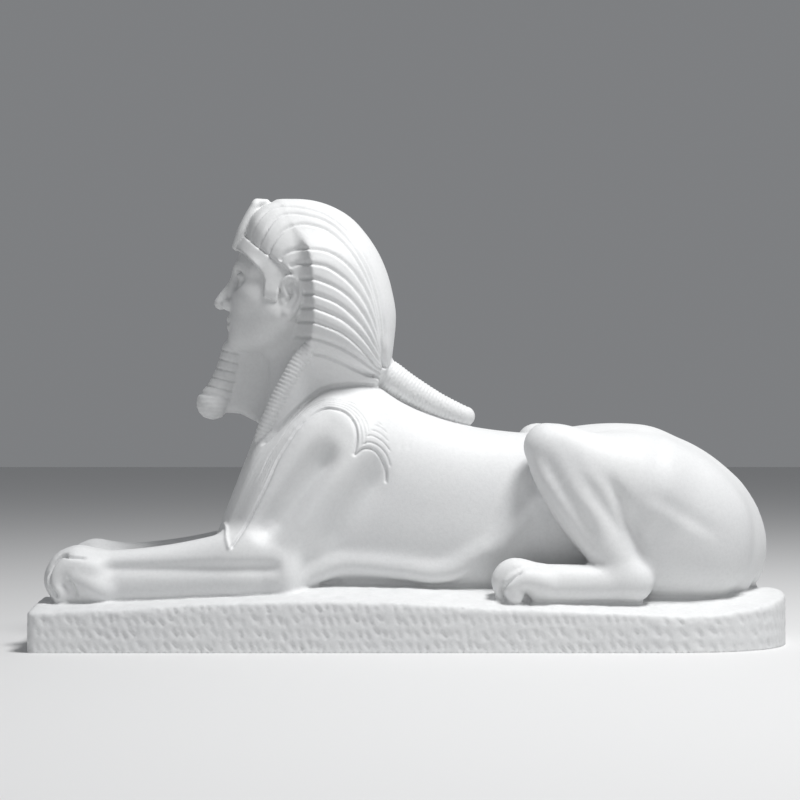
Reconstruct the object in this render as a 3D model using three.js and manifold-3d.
// A sphinx statue: a lion's body with a crowned human head, lying on a rough slab, cast in one piece.
// Millimetres, +Z up, head towards -X, underside of the slab on z = 0, middle of the slab over x = 0.
//
// The figure is sculpted with distance fields. Each form gives the distance from a point to its own
// surface, neighbouring forms are blended into one another, and the blended surface is meshed at
// the end. Points are [x, out, z]; "out" is the distance from the middle plane of the figure, so a
// form written once stands on both sides. Only the tail is different on its two sides.
import * as THREE from 'three';
import Module from 'manifold-3d';

// ---- driving sizes

const SLAB = { front: -250, back: 250, halfWidth: 90, roundFrom: 150, roundPower: 2.6, below: 10 };
const CELL = 4.5; // size of the first, even grid
const FACETS = 9600; // facets left after thinning out
const SHORT_EDGES = 2e-4; // how strongly short edges are merged before long ones
const SETTLE_ROUNDS = 2; // rounds of pulling points onto the surface

const BROAD = 16; // blend reach where large muscles meet
const SOFT = 12;
const MEDIUM = 8;
const FIRM = 5;
const TIGHT = 3;

// ---- small tools for numbers and lines

const square = (n) => n * n;

function smoothMin(a, b, reach) {
  const overlap = Math.max(reach - Math.abs(a - b), 0) / reach;
  return Math.min(a, b) - square(overlap) * reach * 0.25;
}

const smoothMax = (a, b, reach) => -smoothMin(-a, -b, reach);

// A smooth line through [place, value] stations, level beyond both ends.
function curve(stations) {
  const at = stations.map((s) => s[0]);
  const value = stations.map((s) => s[1]);
  const last = at.length - 1;
  const width = at.slice(1).map((a, i) => a - at[i]);
  const slope = width.map((w, i) => (value[i + 1] - value[i]) / w);
  const lean = at.map((_, i) => {
    if (i === 0) return slope[0];
    if (i === last) return slope[last - 1];
    return (slope[i - 1] * width[i] + slope[i] * width[i - 1]) / (width[i] + width[i - 1]);
  });
  return (place) => {
    const x = Math.min(Math.max(place, at[0]), at[last]);
    let i = 0;
    while (i < last - 1 && x > at[i + 1]) i += 1;
    const t = (x - at[i]) / width[i];
    const t2 = t * t;
    const t3 = t2 * t;
    return (2 * t3 - 3 * t2 + 1) * value[i] + (t3 - 2 * t2 + t) * width[i] * lean[i]
      + (3 * t2 - 2 * t3) * value[i + 1] + (t3 - t2) * width[i] * lean[i + 1];
  };
}

// Extra stations on a smooth path through rows of numbers, so radii ride along with places.
function smoothPath(rows, steps = 4) {
  if (rows.length < 3) return rows;
  const mirror = (a, b) => a.map((v, i) => 2 * v - b[i]);
  const last = rows.length - 1;
  const all = [mirror(rows[0], rows[1]), ...rows, mirror(rows[last], rows[last - 1])];
  const path = [];
  for (let i = 1; i < all.length - 2; i += 1) {
    for (let k = 0; k < steps; k += 1) {
      const t = k / steps;
      path.push(all[i].map((b, j) => {
        const [a, c, d] = [all[i - 1][j], all[i + 1][j], all[i + 2][j]];
        return 0.5 * (2 * b + (c - a) * t + (2 * a - 5 * b + 4 * c - d) * t * t
          + (3 * b - a - 3 * c + d) * t * t * t);
      }));
    }
  }
  path.push(rows[last]);
  return path;
}

// ---- forms

const FAR = 30; // beyond every blend reach: from here on a rough distance will do

// Answers with the gap to a box of [x, out, z] limits while the point is far from it.
function bounded(low, high, form) {
  return (p) => {
    const gap = Math.max(
      low[0] - p[0], p[0] - high[0], low[1] - p[1], p[1] - high[1], low[2] - p[2], p[2] - high[2],
    );
    return gap > FAR ? gap : form(p);
  };
}

// An ellipsoid; pitch in degrees lifts its +X end.
function ellipsoid(centre, radii, pitch = 0) {
  const c = Math.cos(THREE.MathUtils.degToRad(pitch));
  const s = Math.sin(THREE.MathUtils.degToRad(pitch));
  const most = Math.max(...radii);
  return bounded(centre.map((v) => v - most), centre.map((v) => v + most), (p) => {
    const [x, o, z] = [p[0] - centre[0], p[1] - centre[1], p[2] - centre[2]];
    const a = (x * c + z * s) / radii[0];
    const b = o / radii[1];
    const d = (z * c - x * s) / radii[2];
    const near = Math.sqrt(a * a + b * b + d * d);
    const steep = Math.sqrt(square(a / radii[0]) + square(b / radii[1]) + square(d / radii[2]));
    return near * (near - 1) / Math.max(steep, 1e-9);
  });
}

// A round limb along rows of [x, out, z, radius]; flat above 1 thins it sideways, below 1 widens it.
function limb(rows, flat = 1) {
  const path = smoothPath(rows);
  const parts = path.slice(1).map((b, i) => {
    const a = path[i];
    const run = [b[0] - a[0], (b[1] - a[1]) * flat, b[2] - a[2]];
    const length2 = Math.max(square(run[0]) + square(run[1]) + square(run[2]), 1e-9);
    return { a, run, grow: b[3] - a[3], length2 };
  });
  const least = [0, 1, 2].map((axis) => Math.min(...rows.map((row) => row[axis] - row[3])));
  const most = [0, 1, 2].map((axis) => Math.max(...rows.map((row) => row[axis] + row[3])));
  return bounded(least, most, (p) => {
    let best = Infinity;
    for (const { a, run, grow, length2 } of parts) {
      const x = p[0] - a[0];
      const o = (p[1] - a[1]) * flat;
      const z = p[2] - a[2];
      const t = Math.min(Math.max((x * run[0] + o * run[1] + z * run[2]) / length2, 0), 1);
      const away = Math.sqrt(square(x - run[0] * t) + square(o - run[1] * t) + square(z - run[2] * t));
      best = Math.min(best, away - a[3] - grow * t);
    }
    return best;
  });
}

// A pebble with a given side outline of [x, z] points round its middle, and a given half width.
function pebble({ middle, halfWidth, outline, power = 2.3 }) {
  const [mx, mo, mz] = middle;
  const rays = outline
    .map(([x, z]) => [Math.atan2(z - mz, x - mx), Math.hypot(x - mx, z - mz)])
    .sort((a, b) => a[0] - b[0]);
  const turn = 2 * Math.PI;
  const before = rays.slice(-2).map(([angle, r]) => [angle - turn, r]);
  const after = rays.slice(0, 2).map(([angle, r]) => [angle + turn, r]);
  const reach = curve([...before, ...rays, ...after]);
  const most = Math.max(...rays.map((ray) => ray[1]));
  return bounded([mx - most, -most, mz - most], [mx + most, most + mo, mz + most], ([x, o, z]) => {
    const side = reach(Math.atan2(z - mz, x - mx));
    const width = typeof halfWidth === 'function' ? halfWidth(x, z) : halfWidth;
    const round = (Math.hypot(x - mx, z - mz) / side) ** power;
    const thick = (Math.abs(o - mo) / width) ** power;
    return ((round + thick) ** (1 / power) - 1) * Math.min(side, width);
  });
}

// A beam along X with a rounded section; top, bottom, middle and half width may change along it.
function beam({ from, to, top, bottom, out, halfWidth, power, ends = 6 }) {
  return bounded([from, -Infinity, -Infinity], [to, Infinity, Infinity], ([x, o, z]) => {
    const high = top(x);
    const low = bottom(x);
    const half = (high - low) / 2;
    const width = halfWidth(x);
    const across = (Math.abs(o - out(x)) / width) ** power;
    const upright = (Math.abs(z - (high + low) / 2) / half) ** power;
    const section = ((across + upright) ** (1 / power) - 1) * Math.min(width, half);
    return smoothMax(section, Math.max(from - x, x - to), ends);
  });
}

// Distance in the side view to a straight-sided closed outline of [x, z] points, negative inside.
function outlineDistance(outline, x, z) {
  let nearest = Infinity;
  let inside = false;
  outline.forEach(([ax, az], i) => {
    const [bx, bz] = outline[(i + 1) % outline.length];
    const [ex, ez] = [bx - ax, bz - az];
    const t = Math.min(Math.max(((x - ax) * ex + (z - az) * ez) / (ex * ex + ez * ez), 0), 1);
    nearest = Math.min(nearest, Math.hypot(x - ax - ex * t, z - az - ez * t));
    if ((az > z) !== (bz > z) && x < ax + (z - az) * ex / ez) inside = !inside;
  });
  return inside ? -nearest : nearest;
}

// An upright plate in the middle plane with such an outline.
function plate(outline, halfThickness) {
  return ([x, o, z]) => smoothMax(outlineDistance(outline, x, z), o - halfThickness, 3);
}

const level = (value) => () => value;

// ---- slab

const slabEdge = curve([
  [-250, 26], [-170, 29.5], [-138, 31.4], [-74, 33], [-10, 32], [54, 28.5], [118, 26.3], [182, 23],
  [235, 24.2],
]);
const slabCrown = curve([
  [-250, 5], [-170, 3], [-105, 3.5], [-62, 8.5], [0, 9], [60, 10], [110, 8], [180, 12], [235, 10],
]);

function slabTop(x, out) {
  return slabEdge(x) + slabCrown(x) * (1 - square(out / SLAB.halfWidth));
}

function slab([x, out, z]) {
  let plan;
  if (x > SLAB.roundFrom) {
    const along = (x - SLAB.roundFrom) / (SLAB.back - SLAB.roundFrom);
    const across = out / SLAB.halfWidth;
    const round = (along ** SLAB.roundPower + across ** SLAB.roundPower) ** (1 / SLAB.roundPower);
    plan = (round - 1) * SLAB.halfWidth;
  } else {
    plan = smoothMax(out - SLAB.halfWidth, SLAB.front - x, 14);
  }
  return Math.max(smoothMax(plan, z - slabTop(x, out), 7), -SLAB.below - z);
}

// ---- trunk

const trunk = beam({
  from: -150,
  to: 165,
  top: curve([
    [-135, 146], [-110, 147], [-96, 153], [-83, 163], [-68, 174], [-50, 180], [-38, 179], [-25.7, 172.8],
    [-10, 162.5], [0, 157.4], [14, 151.9], [28, 147.6], [45, 144.2], [60, 142.2], [80, 140.6],
    [105, 141], [140, 140],
  ]),
  bottom: level(27),
  out: level(0),
  halfWidth: curve([
    [-135, 44], [-110, 48], [-80, 53], [-50, 55], [-20, 53], [10, 51.5], [35, 49], [60, 44], [85, 39],
    [110, 38], [150, 40],
  ]),
  power: 2.5,
  ends: 20,
});

const CHEST_TOP = [-105.5, 148];
const CHEST_LOW = [-132.4, 78.2];
const CHEST_CURVE = 230; // larger is flatter from side to side

// The slanted breast, running straight from the throat down to the forelegs.
function breast([x, out, z]) {
  const [dx, dz] = [CHEST_LOW[0] - CHEST_TOP[0], CHEST_LOW[1] - CHEST_TOP[1]];
  const length = Math.hypot(dx, dz);
  return ((x - CHEST_TOP[0]) * dz - (z - CHEST_TOP[1]) * dx) / length + square(out) / CHEST_CURVE;
}

// ---- forequarters

const maneSide = limb([
  [-52, 36, 150, 14], [-68, 39, 137, 14], [-88, 41, 108, 13], [-104, 42, 82, 12], [-114, 43, 62, 11],
]);
const upperArm = limb([
  [-38, 42, 134, 17], [-50, 45, 122, 18.5], [-70, 48, 96, 18], [-88, 50, 68, 15], [-90, 51, 52, 13],
]);
const elbow = ellipsoid([-87, 51, 43], [12, 12, 14]);

const foreleg = beam({
  from: -226,
  to: -82,
  top: curve([
    [-232, 63], [-215, 63.4], [-198, 63.4], [-185, 64.3], [-160, 67.5], [-135, 72.6], [-120, 76],
    [-100, 74], [-82, 60],
  ]),
  bottom: curve([[-232, 27], [-150, 28.5], [-82, 30]]),
  out: curve([[-232, 45], [-150, 45.5], [-85, 50]]),
  halfWidth: curve([[-232, 16.5], [-205, 15.5], [-150, 16.5], [-110, 17.5], [-85, 15]]),
  power: 2.8,
});

const forePalm = pebble({
  middle: [-220, 45.5, 45],
  halfWidth: 17,
  outline: [
    [-236, 45], [-231, 55], [-222, 60], [-210, 60], [-200, 56], [-197, 45], [-205, 31], [-222, 28],
    [-233, 35],
  ],
  power: 2.6,
});

// One fore toe, from the knuckle over the front and down to the slab.
function foreToe({ out, ahead, rise, size }) {
  return limb([
    [-212, out, 54 + rise, size], [-223, out, 57.5 + rise, size],
    [-232.5 - ahead, out, 53.5 + rise, size * 0.98],
    [-237 - ahead, out, 44 + rise * 0.5, size * 0.95], [-233.5 - ahead, out, 35.5, size * 0.9],
  ]);
}

const foreToes = [
  foreToe({ out: 57.5, ahead: -1.5, rise: -3, size: 7 }),
  foreToe({ out: 49.5, ahead: 0.5, rise: 0.4, size: 7.6 }),
  foreToe({ out: 41.3, ahead: 1.2, rise: 1.2, size: 7.6 }),
  foreToe({ out: 33.4, ahead: -1, rise: -2, size: 7 }),
];
const forePad = limb([[-222, 58, 47, 7.5], [-212, 58, 42, 8.5], [-206, 56, 38, 8]]);

// ---- belly fold, hindquarters and tail

const bellyFold = limb([
  [-86, 44, 44, 8], [-70, 44, 49, 8.5], [-50, 43.5, 55, 8.5], [-32, 43, 55, 8.5], [-8, 42.5, 50.5, 8.5],
  [11, 42, 47, 8.5], [25, 41.5, 49.5, 8.5], [38, 41, 58, 8], [53, 40, 68, 7.5], [64, 39.5, 80, 7],
  [80, 38, 97, 6],
]);
const bellyUndercut = limb([
  [-72, 57, 38, 4], [-52, 56, 40, 9], [-30, 55.5, 40, 10], [0, 55, 36, 9.5], [25, 55, 36, 9.5],
  [45, 55, 46, 10],
  [62, 56, 56, 9], [76, 58, 66, 6],
]);

const rump = pebble({
  middle: [150, 0, 86],
  halfWidth: 50,
  outline: [
    [80, 128], [108.7, 141.5], [130.8, 145.6], [156.4, 144.2], [184.3, 135.7], [208, 121], [224, 104.5],
    [233, 84],
    [236, 60], [226, 34], [180, 20], [120, 20], [80, 60],
  ],
  power: 2.2,
});

const haunch = pebble({
  middle: [164, 34, 84],
  halfWidth: 35,
  outline: [
    [96, 128], [122, 138], [150, 138], [185, 128], [210, 108], [223, 84], [222.5, 60], [212.7, 39],
    [200, 31], [180, 28],
    [150, 30], [122, 50], [100, 84],
  ],
  power: 2.1,
});

const thigh = limb([[86.5, 50, 134, 13.5], [97, 49, 129, 17.5], [118, 45, 114, 27], [150, 36, 100, 40]]);
const shin = limb([
  [85.5, 51, 130, 12.5], [92, 53, 117, 15.5], [108, 55, 95, 19], [122, 57, 74, 17.5],
  [134, 60, 55, 14.5], [140, 62, 45, 13],
]);
const hindFoot = limb([[142, 63.5, 44, 13], [126, 64.5, 43, 12], [100, 66, 43, 12.3], [80, 67, 43, 12.7]]);
const hindToes = [
  limb([[84, 74, 44, 8], [71, 77, 46.5, 7.2], [63.5, 77.5, 43, 6.8], [64.5, 77, 37, 6.2]]),
  limb([[80, 68, 48, 8], [64.5, 69.5, 51.5, 7.3], [57, 69.5, 46, 7], [58.5, 69, 37, 6.5]]),
  limb([[80, 62, 48, 8], [64.5, 61.5, 52, 7.3], [57, 61.5, 46, 7], [58.5, 61.5, 37, 6.5]]),
  limb([[84, 57, 45, 8], [71, 54.5, 47.5, 7.2], [62.5, 54, 43, 6.8], [63.5, 54.5, 37, 6.2]]),
];

const tail = limb([
  [214, 0, 98, 6], [225, 2, 84, 8], [230.5, 6, 66, 9], [230.5, 16, 46, 9], [222, 32, 38, 9],
  [204, 52, 37.5, 8.5],
  [180, 65, 38.5, 8.5], [158, 70.5, 39.5, 9], [140, 73, 40, 10], [124, 74, 40, 7.5],
]);

// ---- head, headcloth and beard

const HOOD_OUTLINE = [
  [-114, 262], [-114.5, 277], [-110, 290], [-100.2, 297], [-83.5, 298.9], [-69.5, 297.8],
  [-55.7, 293.3], [-44.5, 286.4],
  [-34.7, 275.9], [-26.4, 263.4], [-20.8, 250.9], [-16.6, 235.5], [-14.5, 221.5], [-14.5, 207.6],
  [-15.2, 193.7],
  [-20, 178.5], [-33, 172], [-56, 176], [-78, 184], [-100, 196], [-108, 226],
];
const CROWN_POINTS = 13; // the first points of that outline are the crown's and the back's
const WING_CORNER = { x: -68, out: 50 }; // front edge of the cloth beside the ear
const WING_SWEEP = 0.52; // how fast the front facet runs forward, going in from the corner
const BAND = { x: -79.2, z: 245.5, slope: 0.775 }; // lower edge of the cap above the ear, rising forward

const wingWidth = curve([
  [170, 43], [178, 48], [190, 52], [206, 53], [222, 52], [242, 51], [256, 49.5], [263, 46.5], [270, 41],
  [278, 35], [299, 26],
]);
const wings = pebble({
  middle: [-68, 0, 226],
  halfWidth: (x, z) => wingWidth(z),
  outline: HOOD_OUTLINE,
  power: 2.3,
});
const cap = pebble({
  middle: [-72, 0, 240],
  halfWidth: 39.5,
  outline: [...HOOD_OUTLINE.slice(0, CROWN_POINTS), [-20, 200], [-60, 190], [-100, 200]],
  power: 2.2,
});

// The headcloth: a cap down to the forehead, and wings cut back beside the face to a flat facet.
function hood(p) {
  const [x, out, z] = p;
  const belowBand = (BAND.z - BAND.slope * (x - BAND.x) - z) / Math.hypot(1, BAND.slope);
  const facet = WING_CORNER.x - x - WING_SWEEP * (WING_CORNER.out - out);
  return smoothMin(smoothMax(cap(p), belowBand, 2), smoothMax(wings(p), facet, 2), MEDIUM);
}

const skull = ellipsoid([-87, 0, 243], [36.5, 33, 46]);
const cheeks = ellipsoid([-98, 0, 222], [26, 28.5, 24]);
const jaw = ellipsoid([-103, 0, 210], [22, 20, 14]);
const chin = ellipsoid([-121, 0, 204.5], [8, 9, 8]);
const mouth = ellipsoid([-121.5, 0, 216], [8.5, 11, 9]);
const nose = limb([[-121, 0, 248, 3.4], [-128, 0, 238, 4], [-133, 0, 231, 5.2]]);
const ear = ellipsoid([-84, 34, 236], [9, 5, 14.5], -8);
const neck = limb([[-84, 0, 212, 24], [-78, 0, 190, 24.5], [-70, 0, 165, 29], [-60, 0, 145, 34]]);

const serpent = limb([
  [-119.5, 0, 267, 4], [-115, 0, 277, 4.6], [-110.5, 0, 289, 4], [-105.5, 0, 297, 4.2],
], 0.8);
const beard = limb([
  [-124.5, 0, 198, 7], [-127.5, 0, 184, 8], [-132.5, 0, 170, 10], [-137.5, 0, 161, 11.6],
], 1.15);
const beardWall = plate([
  [-124, 200], [-128, 154.6], [-118.9, 154], [-104, 146.5], [-84, 150], [-84, 200],
], 4.5);

const lappet = limb([
  [-68, 43, 201, 5], [-74, 41, 193, 5.8], [-79.5, 39.5, 185, 6], [-84.4, 38.5, 176.1, 6],
  [-91, 36.5, 164, 5.8],
  [-97, 34, 151.5, 5.4], [-101.5, 31, 142.5, 4.8], [-103.8, 29, 137, 3.8],
], 0.72);

// The plain side of the cloth behind the lappet, leaning in towards the shoulder.
const FLAP_OUTLINE = [
  [-71, 193.6], [-62, 192.3], [-52, 188.6], [-41, 183.6], [-30, 179], [-23.5, 176.6], [-26, 170],
  [-41.7, 170],
  [-58, 168.5], [-68.3, 162], [-78.6, 153], [-88.8, 143], [-97, 136], [-104, 132.5], [-101.5, 142.5],
  [-97, 151.5],
  [-91, 164], [-84.4, 176.1], [-79.5, 187], [-74, 195],
];
const FLAP_TOP = 193;
const FLAP_LEAN = 0.35; // how fast the side comes in, going down
const flapEdge = curve([
  [-104, 135], [-97, 149], [-89, 163], [-80, 178], [-72, 193], [-52, 188.6], [-41, 183.6], [-24, 176.6],
]);
const flapOut = curve([
  [-104, 30], [-97, 34], [-92, 37], [-86, 39.5], [-79.5, 41.4], [-66, 41.5], [-52, 40], [-41, 35.5],
  [-30, 27], [-22, 20],
]);

const flap = bounded([-110, 0, 128], [-18, 46, 200], ([x, out, z]) => {
  const below = Math.max(Math.min(flapEdge(x), FLAP_TOP) - z, 0);
  const wall = (out - flapOut(x) + FLAP_LEAN * below) / Math.hypot(1, FLAP_LEAN);
  return smoothMax(outlineDistance(FLAP_OUTLINE, x, z), wall, 2);
});

const pigtail = limb([
  [-24, 0, 184, 11], [-16, 0, 178, 11.4], [-8, 0, 173, 10.8], [2, 0, 167, 10], [14, 0, 160.5, 8.8],
  [27, 0, 154.8, 7.6], [35, 0, 152, 6.6],
]);

// ---- the whole figure

function several(forms, reach, p) {
  return forms.map((form) => form(p)).reduce((a, b) => smoothMin(a, b, reach));
}

function lionBody(p) {
  const front = smoothMin(smoothMin(trunk(p), maneSide(p), MEDIUM), upperArm(p), SOFT);
  let body = smoothMax(front, breast(p), MEDIUM);
  body = smoothMax(body, -bellyUndercut(p), FIRM);
  body = smoothMin(body, bellyFold(p), FIRM);
  return smoothMin(body, smoothMin(rump(p), haunch(p), SOFT), BROAD);
}

function foreLimb(p) {
  const paw = smoothMin(smoothMin(forePalm(p), several(foreToes, TIGHT, p), TIGHT), forePad(p), TIGHT);
  return smoothMin(smoothMin(foreleg(p), elbow(p), MEDIUM), paw, FIRM);
}

function hindLimb(p) {
  const knee = smoothMin(thigh(p), shin(p), FIRM);
  const foot = smoothMin(hindFoot(p), several(hindToes, TIGHT, p), TIGHT);
  return smoothMin(knee, foot, FIRM);
}

function head(p) {
  let face = smoothMin(smoothMin(skull(p), cheeks(p), SOFT), jaw(p), SOFT);
  face = smoothMin(face, smoothMin(chin(p), mouth(p), FIRM), MEDIUM);
  face = smoothMin(face, nose(p), FIRM);
  face = smoothMin(face, neck(p), FIRM);
  const dressed = smoothMin(smoothMin(face, hood(p), TIGHT), ear(p), TIGHT);
  const strap = smoothMin(smoothMin(beard(p), beardWall(p), TIGHT), serpent(p), TIGHT);
  return smoothMin(dressed, strap, TIGHT);
}

function figure([x, y, z]) {
  const p = [x, Math.abs(y), z];
  let all = smoothMin(lionBody(p), foreLimb(p), MEDIUM);
  all = smoothMin(all, hindLimb(p), MEDIUM);
  all = smoothMin(all, head(p), FIRM);
  all = smoothMin(all, smoothMin(lappet(p), flap(p), TIGHT), TIGHT);
  all = smoothMin(all, pigtail(p), MEDIUM);
  all = smoothMin(all, tail([x, y, z]), SOFT);
  return smoothMin(all, slab(p), TIGHT);
}

// ---- meshing

const BLOCK = 4; // grid cells along one side of a block that is skipped when no surface is near
const BLOCK_MARGIN = 1.3; // how far from a block's middle, in block sides, a surface still counts

// Field values on an even grid. Blocks far from the surface only get the sign of their middle.
function sampleGrid(field, low, high, cell) {
  const blocks = low.map((l, i) => Math.ceil((high[i] - l) / (cell * BLOCK)));
  const count = blocks.map((n) => n * BLOCK + 1);
  const values = new Float64Array(count[0] * count[1] * count[2]).fill(NaN);
  const reach = cell * BLOCK * BLOCK_MARGIN;
  for (let n = 0; n < blocks[0] * blocks[1] * blocks[2]; n += 1) {
    const block = [
      n % blocks[0], Math.floor(n / blocks[0]) % blocks[1], Math.floor(n / (blocks[0] * blocks[1])),
    ];
    const middle = field(block.map((b, a) => low[a] + (b + 0.5) * BLOCK * cell));
    const near = Math.abs(middle) < reach;
    for (let k = 0; k <= BLOCK; k += 1) {
      for (let j = 0; j <= BLOCK; j += 1) {
        for (let i = 0; i <= BLOCK; i += 1) {
          const [gi, gj, gk] = [block[0] * BLOCK + i, block[1] * BLOCK + j, block[2] * BLOCK + k];
          const at = gi + count[0] * (gj + count[1] * gk);
          if (!Number.isNaN(values[at]) && (!near || Math.abs(values[at]) < reach)) continue;
          values[at] = near ? field([low[0] + gi * cell, low[1] + gj * cell, low[2] + gk * cell])
            : Math.sign(middle) * reach;
        }
      }
    }
  }
  return { count, values };
}

// Six tetrahedra fill a grid cell. Corner n lies at x = n & 1, y = n & 2, z = n & 4.
const TETRAHEDRA = [[0, 1, 3, 7], [0, 3, 2, 7], [0, 2, 6, 7], [0, 6, 4, 7], [0, 4, 5, 7], [0, 5, 1, 7]];

// For every set of inside corners (one bit each): those corners first, the same way round.
const INSIDE_FIRST = {
  1: [0, 1, 2, 3], 2: [1, 0, 3, 2], 4: [2, 3, 0, 1], 8: [3, 2, 1, 0],
  3: [0, 1, 2, 3], 5: [0, 2, 3, 1], 9: [0, 3, 1, 2], 6: [1, 2, 0, 3], 10: [1, 3, 2, 0], 12: [2, 3, 0, 1],
};

// A closed triangle mesh of the surface, cut out of the grid's tetrahedra.
function surfaceOf(field, low, high, cell) {
  const { count, values } = sampleGrid(field, low, high, cell);
  const corner = [0, 1, 2, 3, 4, 5, 6, 7].map(
    (n) => (n & 1) + count[0] * (((n >> 1) & 1) + count[1] * (n >> 2)),
  );
  const places = [];
  const triangles = [];
  const known = new Map();
  const placeOf = (at) => [
    at % count[0], Math.floor(at / count[0]) % count[1], Math.floor(at / (count[0] * count[1])),
  ];

  function cut(a, b) {
    const [first, second] = a < b ? [a, b] : [b, a];
    const key = first * values.length + second;
    if (!known.has(key)) {
      const t = values[first] / (values[first] - values[second]);
      const [p, q] = [placeOf(first), placeOf(second)];
      known.set(key, places.length);
      places.push(p.map((v, axis) => low[axis] + (v + (q[axis] - v) * t) * cell));
    }
    return known.get(key);
  }

  for (let k = 0; k < count[2] - 1; k += 1) {
    for (let j = 0; j < count[1] - 1; j += 1) {
      for (let i = 0; i < count[0] - 1; i += 1) {
        const base = i + count[0] * (j + count[1] * k);
        const inside = corner.filter((offset) => values[base + offset] < 0).length;
        if (inside === 0 || inside === 8) continue;
        for (const tetrahedron of TETRAHEDRA) {
          const at = tetrahedron.map((n) => base + corner[n]);
          const bits = at.reduce((sum, n, bit) => sum + (values[n] < 0 ? 1 << bit : 0), 0);
          if (bits === 0 || bits === 15) continue;
          const three = !(bits in INSIDE_FIRST);
          const [a, b, c, d] = INSIDE_FIRST[three ? 15 - bits : bits].map((n) => at[n]);
          if (three) triangles.push(cut(a, b), cut(a, d), cut(a, c));
          else if (bits & (bits - 1)) {
            triangles.push(cut(a, c), cut(a, d), cut(b, d));
            triangles.push(cut(a, c), cut(b, d), cut(b, c));
          } else triangles.push(cut(a, b), cut(a, c), cut(a, d));
        }
      }
    }
  }
  return { places, triangles };
}

// Pulls points onto the surface along its slope.
function settle(field, places, rounds) {
  const step = 0.1;
  const probe = [[1, -1, -1], [-1, -1, 1], [-1, 1, -1], [1, 1, 1]];
  for (const place of places) {
    for (let r = 0; r < rounds; r += 1) {
      const slope = [0, 0, 0];
      let value = 0;
      for (const way of probe) {
        const f = field(place.map((v, a) => v + way[a] * step));
        value += f / 4;
        for (let a = 0; a < 3; a += 1) slope[a] += way[a] * f / (4 * step);
      }
      const steep = Math.max(square(slope[0]) + square(slope[1]) + square(slope[2]), 0.05);
      const move = Math.min(Math.abs(value) / steep, CELL / 4) * Math.sign(value);
      for (let a = 0; a < 3; a += 1) place[a] -= move * slope[a];
    }
  }
}

// ---- thinning out

const cross = (a, b) => [a[1] * b[2] - a[2] * b[1], a[2] * b[0] - a[0] * b[2], a[0] * b[1] - a[1] * b[0]];
const dot = (a, b) => a[0] * b[0] + a[1] * b[1] + a[2] * b[2];
const minus = (a, b) => [a[0] - b[0], a[1] - b[1], a[2] - b[2]];
const normalOf = (a, b, c) => cross(minus(b, a), minus(c, a));

// Sums of squared distances to planes: xx, xy, xz, xw, yy, yz, yw, zz, zw, ww.
function addPlane(sums, [a, b, c], d, weight) {
  [a * a, a * b, a * c, a * d, b * b, b * c, b * d, c * c, c * d, d * d].forEach((v, i) => {
    sums[i] += v * weight;
  });
}

function planeError(s, [x, y, z]) {
  return s[0] * x * x + 2 * s[1] * x * y + 2 * s[2] * x * z + 2 * s[3] * x + s[4] * y * y
    + 2 * s[5] * y * z + 2 * s[6] * y + s[7] * z * z + 2 * s[8] * z + s[9];
}

// The point nearest to all the planes, or null where they don't pin one down.
function bestPoint(s) {
  const rows = [[s[0], s[1], s[2]], [s[1], s[4], s[5]], [s[2], s[5], s[7]]];
  const whole = dot(rows[0], cross(rows[1], rows[2]));
  if (Math.abs(whole) < 1e-3 * (s[0] + s[4] + s[7]) ** 3 / 27) return null;
  const right = [-s[3], -s[6], -s[8]];
  return [0, 1, 2].map((axis) => {
    const swapped = rows.map((row, i) => row.map((v, j) => (j === axis ? right[i] : v)));
    return dot(swapped[0], cross(swapped[1], swapped[2])) / whole;
  });
}

// A queue that always gives its cheapest entry first.
class CheapestFirst {
  constructor() { this.heap = []; }

  push(entry) {
    const { heap } = this;
    let at = heap.length;
    heap.push(entry);
    while (at > 0) {
      const up = (at - 1) >> 1;
      if (heap[up].cost <= entry.cost) break;
      heap[at] = heap[up];
      at = up;
    }
    heap[at] = entry;
  }

  pop() {
    const { heap } = this;
    const first = heap[0];
    const last = heap.pop();
    if (heap.length === 0) return first;
    let at = 0;
    for (;;) {
      let down = 2 * at + 1;
      if (down >= heap.length) break;
      if (down + 1 < heap.length && heap[down + 1].cost < heap[down].cost) down += 1;
      if (heap[down].cost >= last.cost) break;
      heap[at] = heap[down];
      at = down;
    }
    heap[at] = last;
    return first;
  }
}

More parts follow.
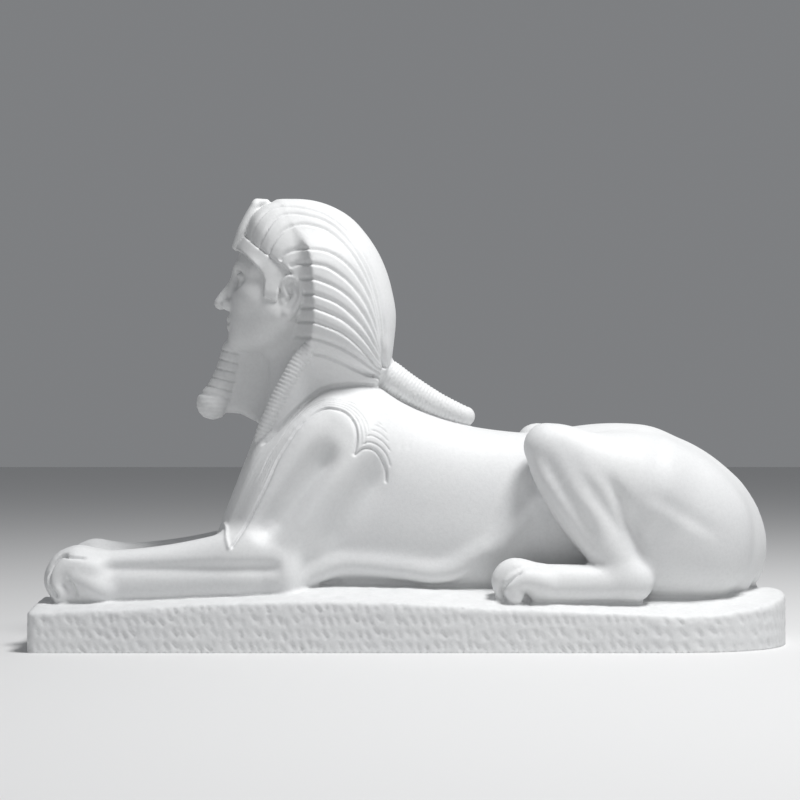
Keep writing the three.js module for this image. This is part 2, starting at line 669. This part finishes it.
// Merges neighbouring corners, cheapest first, until no more than the wanted number of facets is
// left. Merging costs what it moves the surface, so flat stretches end up with large facets.
function thinOut(places, corners, wanted) {
  const facets = [];
  for (let i = 0; i < corners.length; i += 3) facets.push([corners[i], corners[i + 1], corners[i + 2]]);
  const around = places.map(() => new Set());
  const sums = places.map(() => new Float64Array(10));
  facets.forEach((facet, number) => {
    const [a, b, c] = facet.map((v) => places[v]);
    const normal = normalOf(a, b, c);
    const area = Math.hypot(...normal);
    facet.forEach((v) => around[v].add(number));
    if (area < 1e-9) return;
    const unit = normal.map((v) => v / area);
    facet.forEach((v) => addPlane(sums[v], unit, -dot(unit, a), area));
  });
  const stamp = new Uint32Array(places.length);
  const queue = new CheapestFirst();
  const facetsAt = (v) => [...around[v]].flatMap((number) => facets[number]);
  const neighbours = (v) => new Set(facetsAt(v).filter((n) => n !== v));

  function offer(a, b) {
    const both = sums[a].map((v, i) => v + sums[b][i]);
    const middle = places[a].map((v, i) => (v + places[b][i]) / 2);
    const choices = [middle, places[a], places[b]];
    const best = bestPoint(both);
    const span = Math.hypot(...minus(places[a], places[b]));
    if (best && Math.hypot(...minus(best, middle)) < 2 * span) choices.push(best);
    const costs = choices.map((point) => planeError(both, point) + SHORT_EDGES * span ** 4);
    const pick = costs.indexOf(Math.min(...costs));
    queue.push({ cost: costs[pick], a, b, point: choices[pick], stamps: [stamp[a], stamp[b]] });
  }

  const turnsOver = (v, gone, point) => [...around[v]].some((number) => {
    const facet = facets[number];
    if (facet.includes(gone)) return false;
    const before = normalOf(...facet.map((n) => places[n]));
    const after = normalOf(...facet.map((n) => (n === v ? point : places[n])));
    return dot(before, after) < 0.3 * Math.hypot(...before) * Math.hypot(...after);
  });

  places.forEach((_, a) => neighbours(a).forEach((b) => {
    if (a < b) offer(a, b);
  }));
  let left = facets.length;
  while (left > wanted && queue.heap.length > 0) {
    const { a, b, point, stamps } = queue.pop();
    if (stamps[0] !== stamp[a] || stamps[1] !== stamp[b]) continue;
    const [nearA, nearB] = [neighbours(a), neighbours(b)];
    if ([...nearA].filter((n) => nearB.has(n)).length !== 2) continue;
    if (turnsOver(a, b, point) || turnsOver(b, a, point)) continue;
    places[a] = point;
    sums[a] = sums[a].map((v, i) => v + sums[b][i]);
    for (const number of around[b]) {
      if (facets[number].includes(a)) {
        facets[number].forEach((n) => n !== b && around[n].delete(number));
        facets[number] = null;
        left -= 1;
      } else {
        facets[number] = facets[number].map((n) => (n === b ? a : n));
        around[a].add(number);
      }
    }
    around[b].clear();
    stamp[b] += 1;
    stamp[a] += 1;
    for (const n of neighbours(a)) {
      stamp[n] += 1;
    }
    for (const n of neighbours(a)) {
      neighbours(n).forEach((m) => offer(Math.min(n, m), Math.max(n, m)));
    }
  }
  const kept = facets.filter((facet) => facet !== null);
  const order = new Map([...new Set(kept.flat())].map((v, i) => [v, i]));
  const keptPlaces = [...order.keys()].map((v) => places[v]);
  return { places: keptPlaces, triangles: kept.flat().map((v) => order.get(v)) };
}

const wasm = await Module();
wasm.setup();

const surface = surfaceOf(figure, [-262, -102, -14], [262, 102, 314], CELL);
settle(figure, surface.places, SETTLE_ROUNDS);
const thin = thinOut(surface.places, surface.triangles, FACETS);
const blank = new wasm.Manifold(new wasm.Mesh({
  numProp: 3,
  vertProperties: Float32Array.from(thin.places.flat()),
  triVerts: Uint32Array.from(thin.triangles),
})).trimByPlane([0, 0, 1], 0);
// Small pockets closed off where limbs meet the slab are left solid: only the outer skin is kept.
const [statue] = blank.decompose().sort((a, b) => b.volume() - a.volume());

const facets = statue.getMesh();
const geometry = new THREE.BufferGeometry();
geometry.setAttribute('position', new THREE.BufferAttribute(facets.vertProperties, facets.numProp));
geometry.setIndex(new THREE.BufferAttribute(facets.triVerts, 1));

const mesh = new THREE.Mesh(geometry, new THREE.MeshStandardMaterial({
  color: 0xeeeeec, roughness: 0.6, metalness: 0,
}));
mesh.name = 'sphinx_statue';

const group = new THREE.Group();
group.add(mesh);

export default group;
